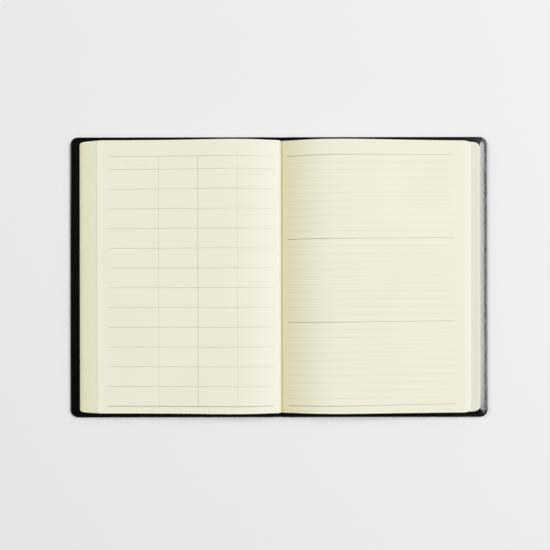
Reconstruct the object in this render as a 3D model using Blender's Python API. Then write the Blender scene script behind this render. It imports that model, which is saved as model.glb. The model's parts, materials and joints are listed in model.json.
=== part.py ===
"""A three-year diary lying open: folded sections bound in a leatherette case.

Every sheet turns about its own fold. The folds lie on two 45 degree lines that rise from the
cover hinges, so the sheets lie flat one on another when open and stand side by side when
closed. Their fore-edges fan out when open and line up when closed. Metres, +Z up, +Y towards
the head of the page, origin under the middle of the spine.
"""

import math

import bmesh
import bpy
from mathutils import Matrix, Vector

# Leaves and sections
LEAF_HEIGHT = 0.2100
LEAF_WIDTH = 0.1480
FRONT_LEAF_CORNER = 0.0020
BACK_LEAF_CORNER = 0.0050
SECTION_THICKNESS = 0.0007
FRONT_SECTIONS = 8
BACK_SECTIONS = 4
ENDPAPER_THICKNESS = 0.0002
ARCHED_LEAVES = 3
ARCHED_LEAF_THICKNESS = 0.0002

# Arch of the open leaves and the gutter between them
FRONT_ARCH_RISE = 0.0044
BACK_ARCH_RISE = 0.0065
FRONT_ARCH_CREST = 0.0360
BACK_ARCH_CREST = 0.0440
GUTTER_DROP = 0.0003
GUTTER_DIP_REACH = 0.0040
GUTTER_LIFT_REACH = 0.0180

# Case
HEAD_SQUARE = 0.0050
FORE_SQUARE = 0.0087
FRONT_PASTEDOWN_MARGIN = 0.0077
BACK_PASTEDOWN_MARGIN = 0.0058
COVER_CORNER = 0.0060
SKIN_THICKNESS = 0.0005
SKIN_EDGE_ROUND = 0.0008
TURN_IN = 0.0150
BOARD_THICKNESS = 0.0014
STRIP_THICKNESS = 0.0008
BOARD_JOINT = 0.0030
STRIP_JOINT = 0.0015
LINING_THICKNESS = 0.0002
LINING_MARGIN = 0.0120

# Free space between pieces that touch
CLEARANCE = 0.0003

# Fineness of round stretches
CORNER_STEPS = 6
FOLD_STEPS = 4
EDGE_STEPS = 2
ARCH_STEPS = 22

FRONT = -1
BACK = 1
SIDES = {FRONT: "front", BACK: "back"}

# Levels of the case, from the table upwards
cover_top = 2 * SKIN_THICKNESS + BOARD_THICKNESS + 2 * CLEARANCE
spine_top = 2 * SKIN_THICKNESS + STRIP_THICKNESS + 2 * CLEARANCE
lining_bottom = spine_top + CLEARANCE
block_bottom = lining_bottom + LINING_THICKNESS + CLEARANCE
pastedown_bottom = cover_top + CLEARANCE
flyleaf_bottom = pastedown_bottom + ENDPAPER_THICKNESS + CLEARANCE
first_section_bottom = flyleaf_bottom + ENDPAPER_THICKNESS + CLEARANCE
section_pitch = SECTION_THICKNESS + CLEARANCE
leaf_pitch = ARCHED_LEAF_THICKNESS + CLEARANCE
section_count = {FRONT: FRONT_SECTIONS, BACK: BACK_SECTIONS}
arch_rise = {FRONT: FRONT_ARCH_RISE, BACK: BACK_ARCH_RISE}
arch_crest = {FRONT: FRONT_ARCH_CREST, BACK: BACK_ARCH_CREST}
leaf_corner = {FRONT: FRONT_LEAF_CORNER, BACK: BACK_LEAF_CORNER}
pastedown_margin = {FRONT: FRONT_PASTEDOWN_MARGIN, BACK: BACK_PASTEDOWN_MARGIN}

# Level of each open page where it is flat, and the gutter where both pages meet
stack_top = {}
for side, count in section_count.items():
    stack_top[side] = first_section_bottom + count * section_pitch - CLEARANCE
page_level = {side: top + ARCHED_LEAVES * leaf_pitch for side, top in stack_top.items()}
gutter_level = (page_level[FRONT] + page_level[BACK]) / 2 - GUTTER_DROP

# The hinges are as far apart as the closed block is thick
hinge_level = cover_top
block_thickness = sum(level - hinge_level for level in page_level.values()) + CLEARANCE
hinge_x = block_thickness / 2
gutter_x = page_level[FRONT] - hinge_level + CLEARANCE / 2 - hinge_x


def fold_x(side, level):
    """Place across the book of the fold of a sheet that lies at this level."""
    return side * (hinge_x - (level - hinge_level))


def free_width(level):
    """Length of a leaf from its fold to its fore-edge; the rest stands in the glued back."""
    return LEAF_WIDTH - (level - block_bottom)


flyleaf_level = flyleaf_bottom + ENDPAPER_THICKNESS / 2
cover_half_width = abs(fold_x(FRONT, flyleaf_level)) + free_width(flyleaf_level) + FORE_SQUARE
cover_half_height = LEAF_HEIGHT / 2 + HEAD_SQUARE


def material(name, color, roughness):
    """One Principled material in the photographed colour."""
    finish = bpy.data.materials.new(name)
    finish.use_nodes = True
    shader = finish.node_tree.nodes["Principled BSDF"]
    shader.inputs["Base Color"].default_value = (*color, 1.0)
    shader.inputs["Roughness"].default_value = roughness
    shader.inputs["Metallic"].default_value = 0.0
    finish.diffuse_color = (*color, 1.0)
    return finish


def add_object(name, shape, finish, pivot):
    """Closes a mesh made in the book's frame and hangs it on its pivot."""
    bmesh.ops.recalc_face_normals(shape, faces=shape.faces)
    mesh = bpy.data.meshes.new(name)
    shape.to_mesh(mesh)
    shape.free()
    mesh.transform(Matrix.Translation(-pivot))
    mesh.materials.append(finish)
    part = bpy.data.objects.new(name, mesh)
    part.location = pivot
    bpy.context.collection.objects.link(part)
    return part


def add_pivot(name, pivot):
    """An empty on a joint's axis, which carries the pieces that turn with it."""
    empty = bpy.data.objects.new(name, None)
    empty.location = pivot
    bpy.context.collection.objects.link(empty)
    return empty


def carry(part, pivot_empty):
    """Hangs a piece on the empty that it turns with, where it already is."""
    part.parent = pivot_empty
    part.location = (0.0, 0.0, 0.0)


def skin_rings(shape, rings):
    """Walls between outlines of equal length, with the first and last one filled."""
    loops = [[shape.verts.new((x, y, level)) for x, y in outline] for outline, level in rings]
    count = len(loops[0])
    for lower, upper in zip(loops, loops[1:]):
        for i in range(count):
            j = (i + 1) % count
            shape.faces.new((lower[i], lower[j], upper[j], upper[i]))
    shape.faces.new(loops[0])
    shape.faces.new(loops[-1])


def plate_outline(side, inner, outer, half_height, corner):
    """Outline of a cover piece, square at the spine and round at the two fore-edge corners."""
    points = [(side * inner, -half_height)]
    for end, first_turn in ((-1, -1), (1, 0)):
        for step in range(CORNER_STEPS + 1):
            angle = math.pi / 2 * (first_turn + step / CORNER_STEPS)
            x = outer - corner + corner * math.cos(angle)
            y = end * (half_height - corner) + corner * math.sin(angle)
            points.append((side * x, y))
    points.append((side * inner, half_height))
    return points


def plate(name, outline, bottom, thickness, finish, pivot):
    """A flat piece of one thickness."""
    shape = bmesh.new()
    skin_rings(shape, [(outline, bottom), (outline, bottom + thickness)])
    return add_object(name, shape, finish, pivot)


def rounded_rings(outline_at, thickness):
    """Rings of a plate whose long edges are rolled over: bottom edge first, then the top edge."""
    rings = []
    for step in range(EDGE_STEPS + 1):
        angle = math.pi / 2 * step / EDGE_STEPS
        inset = SKIN_EDGE_ROUND * (1 - math.sin(angle))
        rings.append((outline_at(inset), SKIN_EDGE_ROUND * (1 - math.cos(angle))))
    return rings + [(outline, thickness - level) for outline, level in reversed(rings)]


def cut(part, outline, bottom, top, pivot):
    """Cuts a straight pocket out of a piece."""
    cutter = plate(part.name + "_cutter", outline, bottom, top - bottom, part.data.materials[0], pivot)
    cutter.hide_render = True
    cutter.display_type = "WIRE"
    boolean = part.modifiers.new("pocket", "BOOLEAN")
    boolean.object = cutter
    boolean.solver = "EXACT"
    boolean.operation = "DIFFERENCE"


def leatherette_skin(name, outline_at, overrun_at, thickness, finish, pivot):
    """Covering material turned in over the head, tail and fore-edge of the board it wraps."""
    shape = bmesh.new()
    skin_rings(shape, rounded_rings(outline_at, thickness))
    skin = add_object(name, shape, finish, pivot)
    cut(skin, overrun_at(SKIN_THICKNESS), SKIN_THICKNESS, thickness - SKIN_THICKNESS, pivot)
    cut(skin, overrun_at(TURN_IN), thickness / 2, thickness + SKIN_THICKNESS, pivot)
    return skin


def cover_outline(side, inner, inset):
    """Cover outline drawn in by an inset on its three free edges."""
    corner = max(COVER_CORNER - inset, SKIN_THICKNESS)
    return plate_outline(side, inner, cover_half_width - inset, cover_half_height - inset, corner)


def spine_outline(half_width, inset):
    """Outline of a piece of the spine drawn in at the head and tail."""
    half_height = cover_half_height - inset
    signs = ((-1, -1), (1, -1), (1, 1), (-1, 1))
    return [(x_sign * half_width, y_sign * half_height) for x_sign, y_sign in signs]


def add_cover(side, finishes, pivot):
    """One cover: its leatherette, the board inside and the pastedown on the board."""
    name = SIDES[side]
    inner = hinge_x + CLEARANCE / 2
    open_inner = hinge_x - TURN_IN
    skin = leatherette_skin(
        name + "_cover_skin",
        lambda inset: cover_outline(side, inner, inset),
        lambda inset: cover_outline(side, open_inner, inset),
        cover_top,
        finishes["leatherette"],
        pivot,
    )
    board = plate(
        name + "_board",
        cover_outline(side, hinge_x + BOARD_JOINT, SKIN_THICKNESS + CLEARANCE),
        SKIN_THICKNESS + CLEARANCE,
        BOARD_THICKNESS,
        finishes["board"],
        pivot,
    )
    pastedown_edge = cover_half_width - pastedown_margin[side]
    pastedown = plate(
        name + "_pastedown",
        plate_outline(side, hinge_x + CLEARANCE, pastedown_edge, LEAF_HEIGHT / 2, leaf_corner[side]),
        pastedown_bottom,
        ENDPAPER_THICKNESS,
        finishes["endpaper"],
        pivot,
    )
    return [skin, board, pastedown]


def add_spine(finishes, pivot):
    """The spine of the case: its leatherette, the card strip inside and the cloth lining above."""
    leatherette_skin(
        "spine_skin",
        lambda inset: spine_outline(hinge_x - CLEARANCE / 2, inset),
        lambda inset: spine_outline(hinge_x + TURN_IN, inset),
        spine_top,
        finishes["leatherette"],
        pivot,
    )
    strip_outline = spine_outline(hinge_x - STRIP_JOINT, SKIN_THICKNESS + CLEARANCE)
    strip_bottom = SKIN_THICKNESS + CLEARANCE
    plate("spine_strip", strip_outline, strip_bottom, STRIP_THICKNESS, finishes["board"], pivot)
    lining_outline = spine_outline(block_half_width(), HEAD_SQUARE + LINING_MARGIN)
    plate("spine_lining", lining_outline, lining_bottom, LINING_THICKNESS, finishes["lining"], pivot)


def section_level(number):
    """Level of the middle of a section, counted from its cover upwards."""
    return first_section_bottom + number * section_pitch + SECTION_THICKNESS / 2


def block_half_width():
    """Half the width of the glued back at its foot."""
    return abs(fold_x(FRONT, section_level(0))) + SECTION_THICKNESS / 2


def arch_height(side, from_gutter):
    """Rise of the open page above its flat level at a distance from the gutter."""
    reach = from_gutter / arch_crest[side]
    return arch_rise[side] * (reach * math.exp(1 - reach)) ** 2


def gutter_offset(side, from_gutter):
    """Dip, or lift, that brings the page to the level of the gutter where both pages meet."""
    offset = gutter_level - page_level[side]
    reach = GUTTER_DIP_REACH if offset < 0 else GUTTER_LIFT_REACH
    return offset * max(0.0, 1 - from_gutter / reach) ** 2


def leaf_top(side, number, from_gutter):
    """Level of the top of an arched leaf; the lower leaves arch less."""
    flat_level = stack_top[side] + (number + 1) * leaf_pitch
    share = (number + 1) / ARCHED_LEAVES
    return flat_level + share * arch_height(side, from_gutter) + gutter_offset(side, from_gutter)


def corner_stations(side, width):
    """Distances from the fold, with half heights, along the round fore-edge corners of a leaf."""
    corner = leaf_corner[side]
    stations = []
    for step in range(CORNER_STEPS + 1):
        angle = math.pi / 2 * step / CORNER_STEPS
        distance = width - corner + corner * math.sin(angle)
        stations.append((distance, LEAF_HEIGHT / 2 - corner + corner * math.cos(angle)))
    return stations


def loft_sheet(name, stations, finish, pivot):
    """A sheet through stations across the book, each with a half height, a bottom and a top."""
    shape = bmesh.new()
    rings = []
    for x, half_height, bottom, top in stations:
        corners = ((half_height, top), (-half_height, top), (-half_height, bottom), (half_height, bottom))
        rings.append([shape.verts.new((x, y, level)) for y, level in corners])
    for ring, following in zip(rings, rings[1:]):
        for i in range(4):
            j = (i + 1) % 4
            shape.faces.new((ring[i], ring[j], following[j], following[i]))
    shape.faces.new(rings[0])
    shape.faces.new(rings[-1])
    return add_object(name, shape, finish, pivot)


def add_flat_sheet(name, side, level, thickness, finish, start=None):
    """A flat sheet or section that turns about its fold; without a start it has its round fold."""
    fold = fold_x(side, level)
    width = free_width(level)
    half = thickness / 2
    stations = []
    if start is None:
        for step in range(1, FOLD_STEPS + 1):
            angle = math.pi / 2 * step / FOLD_STEPS
            x = fold - side * half * math.cos(angle)
            swell = half * math.sin(angle)
            stations.append((x, LEAF_HEIGHT / 2, level - swell, level + swell))
    else:
        stations.append((start, LEAF_HEIGHT / 2, level - half, level + half))
    for distance, half_height in corner_stations(side, width):
        stations.append((fold + side * distance, half_height, level - half, level + half))
    return loft_sheet(name, stations, finish, Vector((fold, 0.0, level)))


def gutter_edge(side):
    """Place of the inner edge of the uppermost leaf, beside the middle of the gutter."""
    return gutter_x + side * CLEARANCE / 2


def add_arched_leaf(side, number, finish):
    """One of the uppermost leaves, which arches over the block and ends with the section under it."""
    carrier_level = section_level(section_count[side] - 1)
    carrier_fold = fold_x(side, carrier_level)
    fore_edge = carrier_fold + side * free_width(carrier_level)
    inner = (ARCHED_LEAVES - 1 - number) * leaf_pitch
    outer = abs(fore_edge - gutter_edge(side))
    places = []
    for step in range(ARCH_STEPS):
        distance = inner + (outer - leaf_corner[side] - inner) * (step / ARCH_STEPS) ** 2
        places.append((distance, LEAF_HEIGHT / 2))
    places += corner_stations(side, outer)
    stations = []
    for distance, half_height in places:
        top = leaf_top(side, number, distance)
        x = gutter_edge(side) + side * distance
        stations.append((x, half_height, top - ARCHED_LEAF_THICKNESS, top))
    pivot = Vector((carrier_fold, 0.0, carrier_level))
    return loft_sheet(f"{SIDES[side]}_arched_leaf_{number + 1}", stations, finish, pivot)


def add_half_block(side, finishes):
    """Flyleaf, sections and arched leaves that lie on one cover."""
    add_flat_sheet(SIDES[side] + "_flyleaf", side, flyleaf_level, ENDPAPER_THICKNESS, finishes["endpaper"])
    total = FRONT_SECTIONS + BACK_SECTIONS
    for number in range(section_count[side]):
        order = number + 1 if side == FRONT else total - number
        uppermost = number == section_count[side] - 1
        start = gutter_edge(side) + side * GUTTER_DIP_REACH if uppermost else None
        level = section_level(number)
        add_flat_sheet(f"section_{order:02d}", side, level, SECTION_THICKNESS, finishes["paper"], start)
    for number in range(ARCHED_LEAVES):
        add_arched_leaf(side, number, finishes["paper"])


def ridge_level():
    """Top of the glued back under the gutter, clear of the lowest leaf on both sides."""
    undersides = []
    for side in SIDES:
        inner = (ARCHED_LEAVES - 1) * leaf_pitch
        outer = abs(stair_wall(side, section_count[side] - 2) - gutter_edge(side))
        undersides += [leaf_top(side, 0, distance) - ARCHED_LEAF_THICKNESS for distance in (inner, outer)]
    return min(undersides) - CLEARANCE


def stair_wall(side, number):
    """Inner wall of a section's step in the glued back."""
    return fold_x(side, section_level(number)) - side * (SECTION_THICKNESS / 2 + CLEARANCE)


def glued_back_profile():
    """Stepped outline of the sewn and glued folds: one step under each section's fold."""
    half = block_half_width()
    profile = [(-half, block_bottom)]
    for side in SIDES:
        steps = []
        outer = side * half
        for number in range(section_count[side] - 1):
            top = section_level(number) - SECTION_THICKNESS / 2 - CLEARANCE
            inner = stair_wall(side, number)
            steps += [(outer, top), (inner, top)]
            outer = inner
        steps.append((outer, ridge_level()))
        profile += steps if side == FRONT else reversed(steps)
    profile.append((half, block_bottom))
    return profile


def add_glued_back(finish, pivot):
    """The sewn and glued back of the block, which fills the space between the turned sheets."""
    shape = bmesh.new()
    profile = glued_back_profile()
    ends = []
    for y in (-LEAF_HEIGHT / 2, LEAF_HEIGHT / 2):
        ends.append([shape.verts.new((x, y, level)) for x, level in profile])
    count = len(profile)
    for i in range(count):
        j = (i + 1) % count
        shape.faces.new((ends[0][i], ends[0][j], ends[1][j], ends[1][i]))
    shape.faces.new(ends[0])
    shape.faces.new(ends[1])
    return add_object("glued_back", shape, finish, pivot)


def main():
    for item in list(bpy.data.objects):
        bpy.data.objects.remove(item, do_unlink=True)
    finishes = {
        "leatherette": material("black_leatherette", (0.012, 0.012, 0.011), 0.42),
        "board": material("grey_board", (0.42, 0.38, 0.31), 0.9),
        "endpaper": material("cream_endpaper", (0.78, 0.74, 0.60), 0.85),
        "paper": material("cream_paper", (0.84, 0.82, 0.68), 0.8),
        "lining": material("white_lining_cloth", (0.80, 0.78, 0.72), 0.95),
        "glue": material("glued_paper", (0.72, 0.68, 0.55), 0.7),
    }
    middle = Vector((0.0, 0.0, 0.0))
    add_spine(finishes, middle)
    add_glued_back(finishes["glue"], middle)
    for side, name in SIDES.items():
        hinge = Vector((side * hinge_x, 0.0, hinge_level))
        pivot_empty = add_pivot(name + "_cover_hinge", hinge)
        for part in add_cover(side, finishes, hinge):
            carry(part, pivot_empty)
        add_half_block(side, finishes)


main()
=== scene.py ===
"""Looks of an open three-year diary: leatherette case, fanned leaves and ruled pages. Metres, +Z up."""

import json
import math
import random

import bpy
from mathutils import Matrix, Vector


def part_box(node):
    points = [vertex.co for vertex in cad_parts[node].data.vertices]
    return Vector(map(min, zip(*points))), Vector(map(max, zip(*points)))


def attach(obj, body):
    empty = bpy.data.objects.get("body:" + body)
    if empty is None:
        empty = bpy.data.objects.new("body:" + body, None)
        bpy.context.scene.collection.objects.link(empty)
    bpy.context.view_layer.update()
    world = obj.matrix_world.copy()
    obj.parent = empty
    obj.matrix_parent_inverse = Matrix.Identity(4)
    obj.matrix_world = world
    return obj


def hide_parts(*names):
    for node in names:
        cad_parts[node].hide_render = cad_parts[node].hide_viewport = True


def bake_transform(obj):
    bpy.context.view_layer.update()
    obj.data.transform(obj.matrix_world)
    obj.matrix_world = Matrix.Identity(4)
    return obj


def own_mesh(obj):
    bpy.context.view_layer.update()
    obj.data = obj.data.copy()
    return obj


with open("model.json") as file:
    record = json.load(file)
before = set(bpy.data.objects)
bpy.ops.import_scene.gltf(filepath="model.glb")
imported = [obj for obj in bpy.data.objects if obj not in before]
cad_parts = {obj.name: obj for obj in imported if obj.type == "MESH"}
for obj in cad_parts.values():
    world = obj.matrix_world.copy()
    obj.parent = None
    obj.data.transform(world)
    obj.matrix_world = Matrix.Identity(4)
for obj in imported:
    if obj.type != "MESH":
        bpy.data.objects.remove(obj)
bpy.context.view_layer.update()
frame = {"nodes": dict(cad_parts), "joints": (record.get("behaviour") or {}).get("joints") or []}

draw = random.Random(3)
TOUCH = 0.00001

FRONT = -1
BACK = 1
SIDE_NAMES = {FRONT: "front", BACK: "back"}

# Flat leaf, and the cuts across it that let it bend
LEAF_LENGTH = 0.1480
LEAF_CORNER = {FRONT: 0.0020, BACK: 0.0050}
LEAF_CORNER_SEGMENTS = 8
BLANK_THICKNESS = 0.001
FINE_CUT = 0.0005
FINE_CUT_END = 0.0125
COARSE_CUT = 0.0042
EDGE_CUT = 0.0007
EDGE_CUTS = 9
SMOOTH_ANGLE = math.radians(35)

# Sections of the block
BUNDLES_PER_SECTION = 4
INNER_BUNDLES = 4
BUNDLE_GAP = 0.00003
FOLD_RADIUS = 0.0016
FOLD_SHARE = 0.4
FLYLEAF_GAP = 0.0002
FORE_EDGE_JITTER = 0.00012

# Fan of leaves at the fore-edge
FAN_BOW = 2.2
FAN_FOOT_MARGIN = 0.0003
LEDGES_PER_BUNDLE = 2
LEDGE_JITTER = 0.00006
LEDGE_FILL = 0.97
LEDGE_CORNER_SHARE = 0.98
LEDGE_CORNER_SEGMENTS = 6

# Uppermost leaves, which arch over the block
ARCHED_LEAVES = 7
ARCHED_SOLIDS = (1, 2, 3)
LEAF_FILL = 0.85
LEAF_THICKNESS = 0.00008
PAGE_RISE = 0.0015
PAGE_OVERHANG = {FRONT: 0.0002, BACK: 0.0012}
ARCH_RISE = {FRONT: 0.0044, BACK: 0.0083}
ARCH_CREST = {FRONT: 0.0360, BACK: 0.0440}
ARCH_FALL = {FRONT: 2.0, BACK: 1.3}
GUTTER_DROP = 0.0003
GUTTER_DIP_REACH = 0.0040
GUTTER_LIFT_REACH = 0.0180
GUTTER_GAP = 0.00004
CREASE_DEPTH = 0.0016
CREASE_REACH = 0.0014
LEAF_STEP = 0.00012
ROLL_REACH = 0.0055
ROLL_SHARE = {FRONT: 0.3, BACK: 0.8}

# Case; a margin step is a width of the turned-in leatherette and its rise
CASE_EDGE_ROUND = 0.0006
CASE_EDGE_SEGMENTS = 4
CASE_CORNER = 0.0060
CASE_CORNER_SEGMENTS = 10
CASE_PAST_MIDDLE = 4 * CASE_EDGE_ROUND
JOINT_WIDTH = 0.0060
JOINT_CUT = JOINT_WIDTH / 8
JOINT_CUTS = 20
GROOVE_DEPTH = 0.0005
RIM_WIDTH = 0.0004
LARGE_FACE = 0.01
FACING = 0.99
MARGIN_STEPS = ((0.0008, 0.00001), (0.0014, 0.00003), (0.0014, 0.00006), (0.0014, 0.00012))

# Printed rulings, measured from the middle of the gutter and the middle of the page
TABLE_LEFT = -0.1336
TABLE_RIGHT = -0.0062
TABLE_COLUMNS = (-0.0944, -0.0641, -0.0338)
TABLE_HEAD = 0.0925
TABLE_TOP = 0.0826
TABLE_ROW = 0.01517
TABLE_ROWS = 12
SLANT_SLOPE = 0.225
SLANT_DROP = 0.0005
SLANT_MARGINS = (0.012, 0.009)
RULE_LEFT = 0.0050
RULE_RIGHT = 0.1330
RULE_TOP = 0.0927
RULE_PART = 0.0641
RULE_PARTS = 3
RULES_PER_PART = 11
RULE_TURN = math.radians(0.58)
FINE_LINE = 0.00016
HEAVY_LINE = 0.00024
FOOT_LINE = 0.00034

# How heavy the printed lines are, and how their ink changes from the gutter outwards
COLUMN_WEIGHTS = (0.50, 0.93, 0.42)
ROW_WEIGHT = 0.75
HEAD_WEIGHT = 0.65
TABLE_FOOT_WEIGHT = 0.68
SLANT_WEIGHT = 0.34
RULE_WEIGHT = 0.31
PART_WEIGHT = 0.78
RULE_FOOT_WEIGHT = 0.2
PRINT_NEAR = {FRONT: 0.85, BACK: 2.3}
PRINT_FAR = {FRONT: 1.5, BACK: 0.8}
PRINT_REACH = {FRONT: 0.050, BACK: 0.070}
PRINT_EVEN = 0.55
PRINT_MOTTLE = 0.5
PRINT_MOTTLE_SCALE = 900.0
INK = (0.135, 0.125, 0.085)

# Noise: its middle value, and how much fine detail it has
NOISE_MIDDLE = 0.5
SOFT_DETAIL = 1.0
PLAIN_DETAIL = 2.0
FINE_DETAIL = 3.0
RUB_DETAIL = 4.0
BOARD_DETAIL = 5.0

# Paper
PAPER = (0.88, 0.87, 0.72)
PAPER_SHADE = (0.82, 0.80, 0.63)
ENDPAPER = (0.82, 0.785, 0.65)
PAPER_ROUGHNESS = 0.78
CLOUD_SCALE = 18.0
CLOUD_SHARE = 0.55
FIBRE_SCALE = 2600.0
FIBRE_SHARE = 0.35
TOOTH_SCALE = 5200.0
TOOTH_STRENGTH = 0.12
TOOTH_HEIGHT = 0.00006
# Painted light along the fore-edge of each open page, where its leaves roll down
PAINTED_PAGE_EDGE_LIGHT = {FRONT: (0.88, 0.86, 0.69), BACK: (0.87, 0.87, 0.77)}
PAINTED_PAGE_EDGE_LIGHT_REACH = 0.0060
PAINTED_PAGE_EDGE_LIGHT_GAIN = 1.6
# Painted light and shade towards the gutter: the front page painted lighter, the back page painted darker
# and more yellow
PAINTED_GUTTER_SHADING = {FRONT: (0.915, 0.895, 0.775), BACK: (0.72, 0.655, 0.41)}
PAINTED_GUTTER_SHADING_REACH = 0.042
# Painted shade in the crease of the gutter, darker and more yellow on both pages
PAINTED_CREASE_SHADE = {FRONT: (0.90, 0.87, 0.60), BACK: (0.76, 0.72, 0.44)}
PAINTED_CREASE_SHADE_REACH = 0.0022

# Cut edges of the leaves
DEPTH = "depth"
# Painted light: the front half's cut edges are warmer and the back half's greyer, fading through the closed
# block
CUT_EDGE = {FRONT: (0.855, 0.83, 0.61), BACK: (0.81, 0.81, 0.695)}
CUT_EDGE_SHADE = {FRONT: (0.815, 0.79, 0.58), BACK: (0.77, 0.77, 0.66)}
CUT_EDGE_DARK = {FRONT: (0.70, 0.65, 0.435), BACK: (0.67, 0.655, 0.51)}
CUT_EDGE_PAINTED_LIGHT_FADE = (0.30, 0.95)
CUT_EDGE_ROUGHNESS = 0.82
LEAF_LINES = 9000.0
GROUP_LINES = 1700.0
GROUP_SHARE = 1.2
BAND_LINES = 430.0
BAND_SHARE = 1.6
DARK_SHARE = 0.08
LEAF_LINE_STRENGTH = 0.25
LEAF_LINE_HEIGHT = 0.0001

# Leatherette
INSIDE = "inside"
LEATHERETTE = (0.0008, 0.0008, 0.0007)
LEATHERETTE_WORN = (0.0030, 0.0030, 0.0027)
LEATHERETTE_SHEEN = 0.75
LEATHERETTE_ROUGHNESS = 0.34
INSIDE_GLOSS = 0.25
GLOSS_SCALE = 140.0
GLOSS_CHANGE = 0.05
CELL_SCALE = 560.0
CELL_SMOOTHNESS = 0.35
WRINKLE_SCALE = 1500.0
WRINKLE_SHARE = 0.6
INSIDE_SMOOTHING = 0.93
GRAIN_STRENGTH = 0.60
GRAIN_HEIGHT = 0.0004
RUB_SCALE = 60.0
RUB_START = 0.35

# Board, gauze and floor
BOARD_TONES = ((0.30, 0.265, 0.21), (0.46, 0.42, 0.35))
BOARD_ROUGHNESS = 0.9
BOARD_FIBRE_SCALE = 1500.0
BOARD_STRENGTH = 0.3
GAUZE_TONES = ((0.55, 0.52, 0.45), (0.82, 0.80, 0.74))
GAUZE_ROUGHNESS = 0.95
GAUZE_STRENGTH = 0.4
THREADS = 900
THREAD_PITCH = 0.0009
THREAD_WIDTH = 0.0004
ROUGH_HEIGHT = 0.0001
FLOOR_TONES = ((0.83, 0.83, 0.83), (0.85, 0.85, 0.85))
FLOOR_ROUGHNESS = 0.7
FLOOR_SCALE = 3.0
FLOOR_SIZE = 6.0
FLOOR_LEVEL = -0.0002

# Light and camera; pixels are those of the photograph, and the scale is pixels per metre on the table
CEILING_EDGE = (0.66, 0.84)
WALL_LIGHT = 0.30
CEILING_LIGHT = 0.04
WHITE = (1.0, 1.0, 1.0, 1.0)
LAMPS = {
    "softbox": {
        "place": (2.47, 0.85, 3.90),
        "target": (2.47, 0.85, 0.0),
        "size": (1.8, 3.3),
        "power": 174.0,
    },
    "fill": {
        "place": (-3.40, 1.35, 3.60),
        "target": (0.0, 0.0, 0.0),
        "size": (1.0, 1.8),
        "power": 63.0,
    },
    "overhead": {
        "place": (-0.30, 0.15, 3.90),
        "target": (-0.30, 0.15, 0.0),
        "size": (0.9, 0.8),
        "power": 17.0,
    },
}
IMAGE_PIXELS = 550
SENSOR_MM = 36.0
TABLE_SCALE = 1267.0
CAMERA_HEIGHT = 0.540
BOOK_CENTRE_PIXEL = (279.0, 277.3)
NADIR_PIXEL_Y = 303.0
CAMERA_ROLL = math.radians(-0.09)

# Places taken from the frame

node_objects = frame["nodes"]
fold_point = {joint["child"]: Vector(joint["pos_m"]) for joint in frame["joints"]}
cover_low, cover_high = (Vector(corner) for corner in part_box("front_cover_skin"))
spine_high = Vector(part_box("spine_skin")[1])
back_low = Vector(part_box("glued_back")[0])
leaf_half_height = Vector(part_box("section_01")[1]).y
section_pitch = fold_point["section_02"].z - fold_point["section_01"].z
bundle_pitch = section_pitch / BUNDLES_PER_SECTION


def sections_of(side):
    """Names of the sections on one cover, from the cover upwards."""
    names = [name for name in fold_point if name.startswith("section_")]
    mine = [name for name in names if side * (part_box(name)[0][0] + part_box(name)[1][0]) > 0]
    return sorted(mine, key=lambda name: fold_point[name].z)


def bundles_in(name, side):
    """Number of bundles in a section; the uppermost one also carries the leaves up to the arched ones."""
    uppermost = name == sections_of(side)[-1]
    return BUNDLES_PER_SECTION + (INNER_BUNDLES if uppermost else 0)


def fore_edge(node, side):
    """Distance of a node's fore-edge from the middle of the spine."""
    low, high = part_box(node)
    return high[0] if side == BACK else -low[0]


def page_edge(side):
    """Distance from the spine to the fore-edge of the open page."""
    return fore_edge(sections_of(side)[-1], side) + PAGE_OVERHANG[side]


def gutter_middle():
    """Place of the gutter across the book."""
    return (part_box("front_arched_leaf_3")[1][0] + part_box("back_arched_leaf_3")[0][0]) / 2


def block_foot(side):
    """Level of the lowest leaf on a cover."""
    return fold_point[sections_of(side)[0]].z - section_pitch / 2


def stack_top(side):
    """Level of the top of the flat bundles, on which the arched leaves lie."""
    return fold_point[sections_of(side)[-1]].z + section_pitch / 2 + INNER_BUNDLES * bundle_pitch


def page_level(side):
    """Level of the open page where it lies flat."""
    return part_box(sections_of(side)[-1])[1][2] + PAGE_RISE


def block_depth():
    """Thickness of all leaves of the closed book."""
    return sum(page_level(side) - block_foot(side) for side in SIDE_NAMES)


def eased(share):
    """A share from 0 to 1 that starts and ends softly."""
    share = min(max(share, 0.0), 1.0)
    return share * share * (3 - 2 * share)


# Shader arithmetic


class Signal:
    """A node's output. Arithmetic on it adds Math nodes to its finish."""

    def __init__(self, finish, socket):
        self.finish = finish
        self.socket = socket

    def math(self, operation, other=0.0):
        return self.finish.node("ShaderNodeMath", {"operation": operation}, {0: self, 1: other})

    def __add__(self, other):
        return self.math("ADD", other)

    def __sub__(self, other):
        return self.math("SUBTRACT", other)

    def __mul__(self, other):
        return self.math("MULTIPLY", other)

    def __truediv__(self, other):
        return self.math("DIVIDE", other)

    def __rsub__(self, other):
        return self.finish.node("ShaderNodeMath", {"operation": "SUBTRACT"}, {0: other, 1: self})

    def __abs__(self):
        return self.math("ABSOLUTE")

    __radd__ = __add__
    __rmul__ = __mul__

    def above(self, limit):
        return self.math("GREATER_THAN", limit)

    def below(self, limit):
        return self.math("LESS_THAN", limit)

    def clamped(self):
        return self.finish.node("ShaderNodeClamp", {}, {"Value": self, "Min": 0.0, "Max": 1.0})


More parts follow.
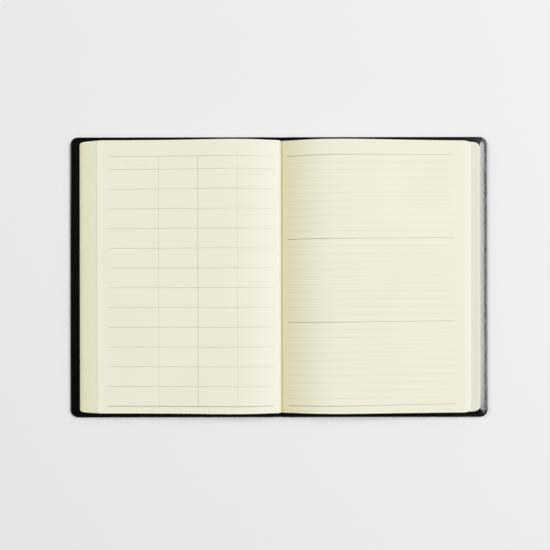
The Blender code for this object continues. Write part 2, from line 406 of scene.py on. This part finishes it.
class Finish:
    """A material with one Principled shader and a method that adds any other node."""

    # Places of a Mix node's colour sockets, which share their names with its other sockets
    MIX_SHARE, MIX_FIRST, MIX_SECOND = 0, 6, 7
    MIX_RESULT = 2

    def __init__(self, name, roughness):
        self.material = bpy.data.materials.new(name)
        self.material.use_nodes = True
        self.tree = self.material.node_tree
        self.shader = self.tree.nodes["Principled BSDF"]
        self.shader.inputs["Roughness"].default_value = roughness

    def node(self, kind, settings, inputs, out=0):
        made = self.tree.nodes.new(kind)
        for key, value in settings.items():
            setattr(made, key, value)
        for key, value in inputs.items():
            self.feed(made.inputs[key], value)
        return Signal(self, made.outputs[out])

    def feed(self, target, value):
        if isinstance(value, Signal):
            self.tree.links.new(value.socket, target)
        elif isinstance(value, tuple) and len(value) == 3 and target.type == "RGBA":
            target.default_value = (*value, 1.0)
        else:
            target.default_value = value

    def paint(self, **sockets):
        for name, value in sockets.items():
            self.feed(self.shader.inputs[name.replace("_", " ").title()], value)

    def place(self):
        return self.node("ShaderNodeTexCoord", {}, {}, out="Object")

    def axes(self, vector=None):
        inputs = {"Vector": vector or self.place()}
        split = self.node("ShaderNodeSeparateXYZ", {}, inputs).socket.node
        return [Signal(self, output) for output in split.outputs]

    def attribute(self, name):
        return self.node("ShaderNodeAttribute", {"attribute_name": name}, {}, out="Fac")

    def noise(self, scale, detail=PLAIN_DETAIL):
        inputs = {"Vector": self.place(), "Scale": scale, "Detail": detail}
        return self.node("ShaderNodeTexNoise", {}, inputs)

    def noise_along(self, value, scale, detail):
        inputs = {"W": value, "Scale": scale, "Detail": detail}
        return self.node("ShaderNodeTexNoise", {"noise_dimensions": "1D"}, inputs)

    def mix(self, share, first, second):
        inputs = {self.MIX_SHARE: share, self.MIX_FIRST: first, self.MIX_SECOND: second}
        return self.node("ShaderNodeMix", {"data_type": "RGBA"}, inputs, out=self.MIX_RESULT)

    def bump(self, height, strength, distance):
        inputs = {"Height": height, "Strength": strength, "Distance": distance}
        return self.node("ShaderNodeBump", {}, inputs)


# Patterns along a coordinate


def close_to(coordinate, place, reach):
    """1 at a place, falling to 0 at a reach on either side of it."""
    return (1.0 - abs(coordinate - place) / reach).clamped()


def lines_every(coordinate, first, pitch, count, width):
    """Soft lines at equal steps from a first one, count steps long."""
    step = (coordinate - first) / pitch
    nearest = step.math("ROUND")
    inside = between(nearest, -0.5, count + 0.5)
    return (1.0 - abs(step - nearest) * (abs(pitch) / width)).clamped() * inside


def between(coordinate, low, high):
    return coordinate.above(low) * coordinate.below(high)


# Finishes


def paper_color(finish, light, shade):
    """Cream paper with a faint cloud and fibres."""
    cloud = finish.noise(CLOUD_SCALE)
    fibre = finish.noise(FIBRE_SCALE, FINE_DETAIL)
    return finish.mix((cloud * CLOUD_SHARE + fibre * FIBRE_SHARE).clamped(), light, shade)


def paper_grain(finish):
    """Fine tooth of uncoated paper."""
    return finish.bump(finish.noise(TOOTH_SCALE, FINE_DETAIL), TOOTH_STRENGTH, TOOTH_HEIGHT)


def plain_paper(name, light, shade):
    finish = Finish(name, PAPER_ROUGHNESS)
    finish.paint(base_color=paper_color(finish, light, shade), normal=paper_grain(finish))
    return finish.material


def leaf_edge_paper():
    """The cut edges of many leaves: fine lines of light and shade, and painted light, warmer on the front
    half, that fades to grey towards the back cover.
    """
    finish = Finish("leaf_edges", CUT_EDGE_ROUGHNESS)
    depth = finish.attribute(DEPTH)
    start, end = (share * block_depth() for share in CUT_EDGE_PAINTED_LIGHT_FADE)
    inputs = {"Value": depth, "From Min": start, "From Max": end}
    fading_painted_light = finish.node("ShaderNodeMapRange", {"interpolation_type": "SMOOTHSTEP"}, inputs)
    tones = (CUT_EDGE, CUT_EDGE_SHADE, CUT_EDGE_DARK)
    light, shade, dark = (finish.mix(fading_painted_light, tone[FRONT], tone[BACK]) for tone in tones)
    leaf = finish.noise_along(depth, LEAF_LINES, SOFT_DETAIL)
    group = (finish.noise_along(depth, GROUP_LINES, PLAIN_DETAIL) - NOISE_MIDDLE) * GROUP_SHARE
    band = (finish.noise_along(depth, BAND_LINES, SOFT_DETAIL) - NOISE_MIDDLE) * BAND_SHARE
    lines = (leaf - NOISE_MIDDLE) + group + band + DARK_SHARE
    color = finish.mix(lines.clamped(), paper_color(finish, light, shade), dark)
    finish.paint(base_color=color, normal=finish.bump(leaf, LEAF_LINE_STRENGTH, LEAF_LINE_HEIGHT))
    return finish.material


def printed_page(name, side, ink):
    """Page paper with painted light and shade near the gutter and the fore-edge, and a ruling, whose amount
    at a point ink gives.
    """
    finish = Finish(name, PAPER_ROUGHNESS)
    x = finish.axes()[0]
    painted_gutter_shading_share = close_to(x, gutter_middle(), PAINTED_GUTTER_SHADING_REACH)
    painted_crease_share = close_to(x, gutter_middle(), PAINTED_CREASE_SHADE_REACH)
    # Share of the painted light along the page's fore-edge
    near_edge = ((1.0 - (page_edge(side) - x * side) / PAINTED_PAGE_EDGE_LIGHT_REACH) * PAINTED_PAGE_EDGE_LIGHT_GAIN).clamped()
    paper = paper_color(finish, PAPER, PAPER_SHADE)
    # Painted light on the front page and painted shade on the back page, towards the gutter
    paper = finish.mix(painted_gutter_shading_share * painted_gutter_shading_share, paper, PAINTED_GUTTER_SHADING[side])
    # Painted shade in the crease
    paper = finish.mix(painted_crease_share, paper, PAINTED_CREASE_SHADE[side])
    # Painted highlight along the page's fore-edge
    paper = finish.mix(near_edge, paper, PAINTED_PAGE_EDGE_LIGHT[side])
    outwards = (abs(x - gutter_middle()) / PRINT_REACH[side]).clamped()
    weight = PRINT_NEAR[side] + outwards * (PRINT_FAR[side] - PRINT_NEAR[side])
    mottle = PRINT_EVEN + finish.noise(PRINT_MOTTLE_SCALE) * PRINT_MOTTLE
    share = (ink(finish) * weight * mottle).clamped()
    finish.paint(base_color=finish.mix(share, paper, INK), normal=paper_grain(finish))
    return finish.material


def page_axes(finish, turn):
    """Coordinates from the gutter and the page middle, turned by a small angle."""
    inputs = {
        "Vector": finish.place(),
        "Location": (-gutter_middle(), 0.0, 0.0),
        "Rotation": (0.0, 0.0, -turn),
    }
    return finish.axes(finish.node("ShaderNodeMapping", {}, inputs))[:2]


def table_ink(finish):
    """Year table: a label column, three year columns, a head row and twelve rows."""
    x, y = page_axes(finish, 0.0)
    table_foot = TABLE_TOP - TABLE_ROWS * TABLE_ROW
    rows = lines_every(y, TABLE_TOP, -TABLE_ROW, TABLE_ROWS, FINE_LINE)
    head = close_to(y, TABLE_HEAD, HEAVY_LINE)
    foot = close_to(y, table_foot, FOOT_LINE)
    across = rows * ROW_WEIGHT + head * HEAD_WEIGHT + foot * TABLE_FOOT_WEIGHT
    columns = 0.0
    for column, weight in zip(TABLE_COLUMNS, COLUMN_WEIGHTS):
        columns = close_to(x, column, FINE_LINE) * weight + columns
    slant = close_to(y + (x - TABLE_LEFT) * SLANT_SLOPE, TABLE_HEAD - SLANT_DROP, FINE_LINE)
    slant_cell = between(x, TABLE_LEFT + SLANT_MARGINS[0], TABLE_COLUMNS[0] - SLANT_MARGINS[1])
    wide = between(x, TABLE_LEFT, TABLE_RIGHT)
    tall = between(y, table_foot, TABLE_HEAD)
    return across * wide + columns * tall + slant * slant_cell * SLANT_WEIGHT


def rule_ink(finish):
    """Three ruled parts, each under a heavier line."""
    x, y = page_axes(finish, RULE_TURN)
    fine = lines_every(y, RULE_TOP, -RULE_PART / RULES_PER_PART, RULE_PARTS * RULES_PER_PART, FINE_LINE)
    heavy = lines_every(y, RULE_TOP, -RULE_PART, RULE_PARTS, HEAVY_LINE)
    foot = close_to(y, RULE_TOP - RULE_PARTS * RULE_PART, FOOT_LINE)
    across = fine * RULE_WEIGHT + heavy * PART_WEIGHT + foot * RULE_FOOT_WEIGHT
    return across * between(x, RULE_LEFT, RULE_RIGHT)


def leatherette():
    """Near-black leatherette with a pressed grain, rubbed a little lighter on its ridges."""
    finish = Finish("black_leatherette", LEATHERETTE_ROUGHNESS)
    finish.shader.inputs["Specular IOR Level"].default_value = LEATHERETTE_SHEEN
    inputs = {"Vector": finish.place(), "Scale": CELL_SCALE, "Smoothness": CELL_SMOOTHNESS}
    cells = finish.node("ShaderNodeTexVoronoi", {"feature": "SMOOTH_F1"}, inputs)
    inside = finish.attribute(INSIDE)
    wrinkles = finish.noise(WRINKLE_SCALE, FINE_DETAIL) * WRINKLE_SHARE
    grain = (cells + wrinkles) * (1.0 - inside * INSIDE_SMOOTHING)
    uneven = finish.noise(GLOSS_SCALE) * GLOSS_CHANGE
    rubbed = (finish.noise(RUB_SCALE, RUB_DETAIL) - RUB_START).clamped() * (1.0 - cells).clamped()
    finish.paint(
        base_color=finish.mix(rubbed.clamped(), LEATHERETTE, LEATHERETTE_WORN),
        roughness=LEATHERETTE_ROUGHNESS - inside * INSIDE_GLOSS + uneven,
        normal=finish.bump(grain, GRAIN_STRENGTH, GRAIN_HEIGHT),
    )
    return finish.material


def pressed_board():
    """Grey-brown board of pressed fibres."""
    finish = Finish("pressed_board", BOARD_ROUGHNESS)
    fibre = finish.noise(BOARD_FIBRE_SCALE, BOARD_DETAIL)
    color = finish.mix(fibre, *BOARD_TONES)
    finish.paint(base_color=color, normal=finish.bump(fibre, BOARD_STRENGTH, ROUGH_HEIGHT))
    return finish.material


def gauze():
    """Open white cloth on the back of the block."""
    finish = Finish("lining_gauze", GAUZE_ROUGHNESS)
    across, along = (
        lines_every(axis, 0.0, THREAD_PITCH, THREADS, THREAD_WIDTH) for axis in finish.axes()[:2]
    )
    weave = across + along
    color = finish.mix(weave.clamped(), *GAUZE_TONES)
    finish.paint(base_color=color, normal=finish.bump(weave, GAUZE_STRENGTH, ROUGH_HEIGHT))
    return finish.material


def floor_finish():
    """Plain pale table top."""
    finish = Finish("pale_floor", FLOOR_ROUGHNESS)
    finish.paint(base_color=finish.mix(finish.noise(FLOOR_SCALE), *FLOOR_TONES))
    return finish.material


# Modelling by hand


def deselect():
    bpy.ops.object.select_all(action="DESELECT")


def pick(piece):
    """Selects one piece alone and makes it the active one."""
    deselect()
    piece.select_set(True)
    bpy.context.view_layer.objects.active = piece


def open_edit():
    bpy.ops.object.mode_set(mode="EDIT")


def leave_edit():
    bpy.ops.object.mode_set(mode="OBJECT")


def clear_selection(piece, kind="VERT"):
    """Picks a piece and sets edit mode to points, edges or faces, with none of them selected."""
    pick(piece)
    open_edit()
    bpy.ops.mesh.select_mode(type=kind)
    bpy.ops.mesh.select_all(action="DESELECT")
    leave_edit()


def select_all(piece):
    """Selects all points of a piece, and opens edit mode."""
    clear_selection(piece)
    open_edit()
    bpy.ops.mesh.select_all(action="SELECT")


def select_points(piece, wanted):
    """Selects the points for which a test holds, and opens edit mode."""
    clear_selection(piece)
    for point in piece.data.vertices:
        point.select = wanted(point.co)
    open_edit()


def select_edges(piece, wanted):
    """Selects the edges for whose two ends a test holds, and opens edit mode."""
    clear_selection(piece, "EDGE")
    points = piece.data.vertices
    for line in piece.data.edges:
        line.select = wanted(points[line.vertices[0]].co, points[line.vertices[1]].co)
    open_edit()


def select_large_face(piece, up):
    """Selects the large face that looks up (1) or down (-1), and opens edit mode."""
    clear_selection(piece, "FACE")
    for face in piece.data.polygons:
        face.select = face.normal.z * up > FACING and face.area > LARGE_FACE
    open_edit()


def add_block(name, low, high):
    """A box between two corners, with its place in its mesh."""
    deselect()
    bpy.ops.mesh.primitive_cube_add(size=1.0, location=(Vector(low) + Vector(high)) / 2)
    piece = bpy.context.object
    piece.name = name
    piece.scale = Vector(high) - Vector(low)
    bpy.ops.object.transform_apply(location=True, rotation=True, scale=True)
    return piece


def cut_across(piece, place, direction=1, **options):
    """Cuts a piece across at a place along X."""
    select_all(piece)
    bpy.ops.mesh.bisect(plane_co=(place, 0.0, 0.0), plane_no=(direction, 0.0, 0.0), **options)
    leave_edit()


def round_corners(piece, wanted, radius, segments):
    """Rounds the upright edges of a block whose ends pass a test."""
    select_edges(piece, lambda a, b: wanted(a) and wanted(b) and abs(a.z - b.z) > TOUCH)
    bpy.ops.mesh.bevel(offset=radius, segments=segments, affect="EDGES")
    leave_edit()


def thicken(piece, thickness):
    """Gives a sheet its thickness, half of it on either side."""
    modifier = piece.modifiers.new("thickness", "SOLIDIFY")
    modifier.thickness = thickness
    modifier.offset = 0.0
    pick(piece)
    bpy.ops.object.modifier_apply(modifier=modifier.name)


def smooth(piece):
    pick(piece)
    bpy.ops.object.shade_smooth_by_angle(angle=SMOOTH_ANGLE)


def face_outwards(piece):
    select_all(piece)
    bpy.ops.mesh.normals_make_consistent(inside=False)
    leave_edit()


def copy_of(piece, name):
    twin = piece.copy()
    twin.data = piece.data.copy()
    twin.name = name
    bpy.context.collection.objects.link(twin)
    return twin


def join(pieces, name):
    pick(pieces[0])
    for piece in pieces:
        piece.select_set(True)
    bpy.ops.object.join()
    joined = bpy.context.object
    joined.name = name
    return joined


def mark(piece, name, values):
    """Stores a number for each point of a piece, which its finish reads."""
    numbers = piece.data.attributes.new(name, "FLOAT", "POINT").data
    for number, value in zip(numbers, values):
        number.value = value


def dress(piece, material):
    """Gives a piece its one finish."""
    piece.data.materials.clear()
    piece.data.materials.append(material)


# Leaves


def model_flat_leaf(corner):
    """One leaf lying flat from its fold at X 0 to its round-cornered fore-edge, cut across to bend."""
    low = (0.0, -leaf_half_height, -BLANK_THICKNESS)
    leaf = add_block("flat_leaf", low, (LEAF_LENGTH, leaf_half_height, 0.0))
    select_points(leaf, lambda at: at.z < -BLANK_THICKNESS / 2)
    bpy.ops.mesh.delete(type="VERT")
    leave_edit()
    select_points(leaf, lambda at: at.x > LEAF_LENGTH / 2)
    bpy.ops.mesh.bevel(offset=corner, segments=LEAF_CORNER_SEGMENTS, affect="VERTICES")
    leave_edit()
    fine = [i * FINE_CUT for i in range(1, int(FINE_CUT_END / FINE_CUT))]
    coarse_count = int((LEAF_LENGTH - corner - FINE_CUT_END) / COARSE_CUT)
    coarse = [FINE_CUT_END + i * COARSE_CUT for i in range(coarse_count)]
    near_edge = [LEAF_LENGTH - i * EDGE_CUT for i in range(1, EDGE_CUTS)]
    for place in fine + coarse + near_edge:
        cut_across(leaf, place)
    return leaf


def fold_radius(fold):
    """Radius at which a section turns over its fold, tighter near the bottom of the back."""
    return min(FOLD_RADIUS, FOLD_SHARE * (fold.z - back_low.z))


def section_path(side, fold, rise, end):
    """Path of a leaf that stands in the back, turns over its fold and lies flat to its fore-edge."""
    radius = fold_radius(fold)
    upright = max(fold.z - radius - back_low.z, 0.0)
    turn_radius = radius + rise
    turn_length = turn_radius * math.pi / 2
    centre_x = fold.x + side * radius
    centre_z = fold.z - radius
    flat_length = LEAF_LENGTH - upright - turn_length

    def path(distance):
        """X and Z at a distance along the leaf from its inner end."""
        if distance < upright:
            return centre_x - side * turn_radius, back_low.z + distance
        if distance < upright + turn_length:
            angle = (distance - upright) / turn_radius
            x = centre_x - side * turn_radius * math.cos(angle)
            return x, centre_z + turn_radius * math.sin(angle)
        share = (distance - upright - turn_length) / flat_length
        return side * (side * centre_x + share * (end - side * centre_x)), centre_z + turn_radius

    return path


def bend_leaf(leaf, path):
    """Moves every point of a flat leaf on to a path across the book."""
    for point in leaf.data.vertices:
        x, z = path(point.co.x)
        point.co = (x, point.co.y, z)


def level_past_fold(side, fold, at):
    """Level that the leaf through a point reaches once it has turned over its fold."""
    radius = fold_radius(fold)
    centre_z = fold.z - radius
    across = max(side * (fold.x - at.x) + radius, 0.0)
    up = max(at.z - centre_z, 0.0)
    return centre_z + math.hypot(across, up)


def mark_depth(piece, side, levels):
    """Notes how deep from the front each point lies in the closed block, so that tones follow the leaves."""
    foot = block_foot(side)
    whole = block_depth()
    rises = [level - foot for level in levels]
    mark(piece, DEPTH, rises if side == FRONT else [whole - rise for rise in rises])


def model_section(name, side, flat_leaf, finish):
    """A section of leaves in a few bundles, which bends where it leaves the glued back."""
    fold = fold_point[name]
    count = bundles_in(name, side)
    gap_below = FLYLEAF_GAP if name == sections_of(side)[0] else 0.0
    pitch = bundle_pitch - gap_below / count
    bundles = []
    for number in range(count):
        rise = gap_below + (number + 0.5) * pitch - section_pitch / 2
        bundle = copy_of(flat_leaf, f"{name}_bundle_{number}")
        end = fore_edge(name, side) + draw.uniform(-FORE_EDGE_JITTER, FORE_EDGE_JITTER)
        bend_leaf(bundle, section_path(side, fold, rise, end))
        thicken(bundle, pitch - BUNDLE_GAP)
        bundles.append(bundle)
    piece = join(bundles, name + "_leaves")
    face_outwards(piece)
    smooth(piece)
    mark_depth(piece, side, [level_past_fold(side, fold, point.co) for point in piece.data.vertices])
    dress(piece, finish)
    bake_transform(piece)
    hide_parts(name)
    return piece


def fan_reach(side, level):
    """Distance from the spine to which the leaves at a level reach in the open book: a rounded slope."""
    foot = block_foot(side)
    share = (level - foot) / (stack_top(side) - foot)
    foot_reach = fore_edge(SIDE_NAMES[side] + "_pastedown", side) - FAN_FOOT_MARGIN
    return foot_reach - (foot_reach - page_edge(side)) * share ** FAN_BOW


def model_fan(name, side, finish):
    """The stepped fore-edge of a section, leaf by leaf."""
    inner = fore_edge(name, side) - LEAF_CORNER[side]
    bottom = fold_point[name].z - section_pitch / 2
    ledge_pitch = bundle_pitch / LEDGES_PER_BUNDLE
    corner = LEAF_CORNER[side] * LEDGE_CORNER_SHARE
    ledges = []
    for number in range(bundles_in(name, side) * LEDGES_PER_BUNDLE):
        level = bottom + number * ledge_pitch
        outer = fan_reach(side, level) + draw.uniform(-LEDGE_JITTER, LEDGE_JITTER)
        ends = sorted((side * inner, side * outer))
        low = (ends[0], -leaf_half_height, level)
        high = (ends[1], leaf_half_height, level + ledge_pitch * LEDGE_FILL)
        ledge = add_block(f"{name}_ledge_{number}", low, high)
        round_corners(ledge, lambda at: side * at.x > outer - TOUCH, corner, LEDGE_CORNER_SEGMENTS)
        ledges.append(ledge)
    piece = join(ledges, name + "_fan")
    face_outwards(piece)
    mark_depth(piece, side, [point.co.z for point in piece.data.vertices])
    dress(piece, finish)
    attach(piece, name)
    name + "_fold"
    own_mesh(piece)


def arch_level(side, share, flat_level, gutter_level, from_gutter):
    """Level of an arched leaf at a distance from the gutter."""
    reach = from_gutter / ARCH_CREST[side]
    arch = ARCH_RISE[side] * share * (reach * math.exp(1 - reach)) ** ARCH_FALL[side]
    offset = gutter_level - flat_level
    offset_reach = GUTTER_DIP_REACH if offset < 0 else GUTTER_LIFT_REACH
    dip = offset * max(0.0, 1 - from_gutter / offset_reach) ** 2
    crease = CREASE_DEPTH * max(0.0, 1 - from_gutter / CREASE_REACH) ** 2
    return flat_level + arch + dip - crease


def model_arched_leaves(side, flat_leaf, page_finish, edge_finish):
    """The open leaf and the bundles under it, which rise out of the gutter, arch and lie down again."""
    side_name = SIDE_NAMES[side]
    carrier = sections_of(side)[-1]
    base = stack_top(side)
    top_level = page_level(side)
    pitch = (top_level - base) / ARCHED_LEAVES
    gutter_level = sum(page_level(half) for half in SIDE_NAMES) / 2 - GUTTER_DROP
    gutter_edge = gutter_middle() + side * GUTTER_GAP / 2
    top_edge = page_edge(side)

    def level_at(number, x):
        """Level of the upper face of a leaf, counted from below, at a place across the book."""
        below_top = (ARCHED_LEAVES - number) * pitch
        share = number / ARCHED_LEAVES
        from_gutter = abs(x - gutter_edge)
        level = arch_level(side, share, top_level - below_top, gutter_level - below_top, from_gutter)
        roll = eased(1 - (top_edge - abs(x)) / ROLL_REACH)
        return base + (level - base) * (1 - ROLL_SHARE[side] * roll)

    for number in range(1, ARCHED_LEAVES + 1):
        uppermost = number == ARCHED_LEAVES
        inner = gutter_edge + side * (ARCHED_LEAVES - number) * pitch
        outer = side * (top_edge + (ARCHED_LEAVES - number) * LEAF_STEP)
        leaf = copy_of(flat_leaf, f"{side_name}_open_leaf_{number}")
        thicken(leaf, LEAF_THICKNESS)
        flat_levels = [base + (number - (point.co.z < 0)) * pitch for point in leaf.data.vertices]
        mark_depth(leaf, side, flat_levels)
        for point in leaf.data.vertices:
            x = inner + (outer - inner) * point.co.x / LEAF_LENGTH
            level = level_at(number, x)
            if point.co.z < 0:
                room = level - level_at(number - 1, x)
                level -= LEAF_THICKNESS if uppermost else room * LEAF_FILL
            point.co = (x, point.co.y, level)
        face_outwards(leaf)
        smooth(leaf)
        dress(leaf, page_finish if uppermost else edge_finish)
        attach(leaf, carrier)
        carrier + "_fold"
        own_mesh(leaf)
    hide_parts(*[f"{side_name}_arched_leaf_{number}" for number in ARCHED_SOLIDS])


# Case


def model_case_half(side, finish):
    """One cover and its half of the spine in one sheet of leatherette, with rolled edges and a joint."""
    name = SIDE_NAMES[side]
    width = fore_edge(name + "_cover_skin", side)
    hinge = abs(fold_point[name + "_cover"].x)
    ends = sorted((-side * CASE_PAST_MIDDLE, side * width))
    low = (ends[0], cover_low.y, 0.0)
    high = (ends[1], cover_high.y, cover_high.z)
    case = add_block(name + "_case_leatherette", low, high)
    round_corners(case, lambda at: side * at.x > width - TOUCH, CASE_CORNER, CASE_CORNER_SEGMENTS)
    select_edges(case, lambda a, b: abs(a.z - b.z) < TOUCH)
    bpy.ops.mesh.bevel(offset=CASE_EDGE_ROUND, segments=CASE_EDGE_SEGMENTS, affect="EDGES")
    leave_edit()
    slope_margin(case)
    select_large_face(case, -1)
    bpy.ops.mesh.inset(thickness=RIM_WIDTH)
    leave_edit()
    cut_across(case, 0.0, side, use_fill=True, clear_inner=True)
    for number in range(JOINT_CUTS):
        cut_across(case, side * (hinge - JOINT_WIDTH + number * JOINT_CUT))
    inside_level = cover_high.z - CASE_EDGE_ROUND / 2
    mark(case, INSIDE, [float(point.co.z > inside_level) for point in case.data.vertices])
    for point in case.data.vertices:
        shape_joint(point, hinge)
    face_outwards(case)
    smooth(case)
    dress(case, finish)
    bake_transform(case)
    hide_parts(name + "_cover_skin")
    return case


def slope_margin(case):
    """Lets the inside of a cover rise gently from its rim to the endpaper."""
    select_large_face(case, 1)
    for width, rise in ((RIM_WIDTH, 0.0), *MARGIN_STEPS):
        bpy.ops.mesh.inset(thickness=width)
        bpy.ops.transform.translate(value=(0.0, 0.0, rise))
    leave_edit()


def shape_joint(point, hinge):
    """Thins the spine and presses the groove of the joint into the outside."""
    from_spine = abs(point.co.x)
    z = point.co.z
    height = z / cover_high.z
    spine_share = 1 - eased((from_spine - hinge + JOINT_WIDTH) / JOINT_WIDTH)
    groove_share = max(0.0, 1 - abs(from_spine - hinge - JOINT_WIDTH / 2) / (JOINT_WIDTH / 2))
    drop = (cover_high.z - spine_high.z) * spine_share * height
    lift = GROOVE_DEPTH * eased(groove_share) * (1 - height)
    point.co.z = z - drop + lift


# Stage


def add_floor():
    deselect()
    bpy.ops.mesh.primitive_plane_add(size=FLOOR_SIZE, location=(0.0, 0.0, FLOOR_LEVEL))
    floor = bpy.context.object
    floor.name = "floor"
    floor.data.materials.append(floor_finish())


def add_lamp(name, place, target, size, power):
    lamp = bpy.data.lights.new(name, "AREA")
    lamp.shape = "RECTANGLE"
    lamp.size, lamp.size_y = size
    lamp.energy = power
    holder = bpy.data.objects.new(name, lamp)
    holder.location = place
    holder.rotation_euler = (Vector(target) - Vector(place)).to_track_quat("-Z", "Y").to_euler()
    bpy.context.collection.objects.link(holder)


def add_world():
    """Pale surround from the table up to a darker ceiling, which the black case mirrors."""
    world = bpy.data.worlds.new("studio")
    bpy.context.scene.world = world
    world.use_nodes = True
    tree = world.node_tree
    background = tree.nodes["Background"]
    background.inputs["Color"].default_value = WHITE
    direction = tree.nodes.new("ShaderNodeTexCoord")
    split = tree.nodes.new("ShaderNodeSeparateXYZ")
    level = tree.nodes.new("ShaderNodeMapRange")
    level.interpolation_type = "SMOOTHSTEP"
    level.inputs["From Min"].default_value, level.inputs["From Max"].default_value = CEILING_EDGE
    level.inputs["To Min"].default_value = WALL_LIGHT
    level.inputs["To Max"].default_value = CEILING_LIGHT
    tree.links.new(direction.outputs["Generated"], split.inputs["Vector"])
    tree.links.new(split.outputs["Z"], level.inputs["Value"])
    tree.links.new(level.outputs["Result"], background.inputs["Strength"])


def add_camera():
    """Straight down over the book, with a shift that sets the foot of its axis as in the photograph."""
    middle = IMAGE_PIXELS / 2
    camera = bpy.data.cameras.new("camera")
    camera.sensor_width = SENSOR_MM
    camera.lens = TABLE_SCALE * CAMERA_HEIGHT / IMAGE_PIXELS * SENSOR_MM
    camera.shift_y = (NADIR_PIXEL_Y - middle) / IMAGE_PIXELS
    holder = bpy.data.objects.new("camera", camera)
    x = (middle - BOOK_CENTRE_PIXEL[0]) / TABLE_SCALE
    y = (BOOK_CENTRE_PIXEL[1] - NADIR_PIXEL_Y) / TABLE_SCALE
    holder.location = (x, y, CAMERA_HEIGHT)
    holder.rotation_euler = (0.0, 0.0, CAMERA_ROLL)
    bpy.context.collection.objects.link(holder)
    bpy.context.scene.camera = holder


# Build

leaf_edges = leaf_edge_paper()
endpaper = plain_paper("endpaper", ENDPAPER, PAPER_SHADE)
black_case = leatherette()
board = pressed_board()
page_prints = {
    FRONT: printed_page("table_page", FRONT, table_ink),
    BACK: printed_page("ruled_page", BACK, rule_ink),
}

for side in SIDE_NAMES:
    flat_leaf = model_flat_leaf(LEAF_CORNER[side])
    case = model_case_half(side, black_case)
    for name in sections_of(side):
        section = model_section(name, side, flat_leaf, leaf_edges)
        model_fan(name, side, leaf_edges)
    model_arched_leaves(side, flat_leaf, page_prints[side], leaf_edges)
    if side == FRONT:
        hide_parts("spine_skin")
        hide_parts("glued_back")
    bpy.data.objects.remove(flat_leaf)

carried_over = {
    "front_board": board,
    "back_board": board,
    "spine_strip": board,
    "front_pastedown": endpaper,
    "back_pastedown": endpaper,
    "front_flyleaf": endpaper,
    "back_flyleaf": endpaper,
    "spine_lining": gauze(),
}
for name, finish in carried_over.items():
    dress(node_objects[name], finish)

add_floor()
for name, lamp in LAMPS.items():
    add_lamp(name, **lamp)
add_world()
add_camera()
bpy.context.scene.view_settings.view_transform = "Standard"
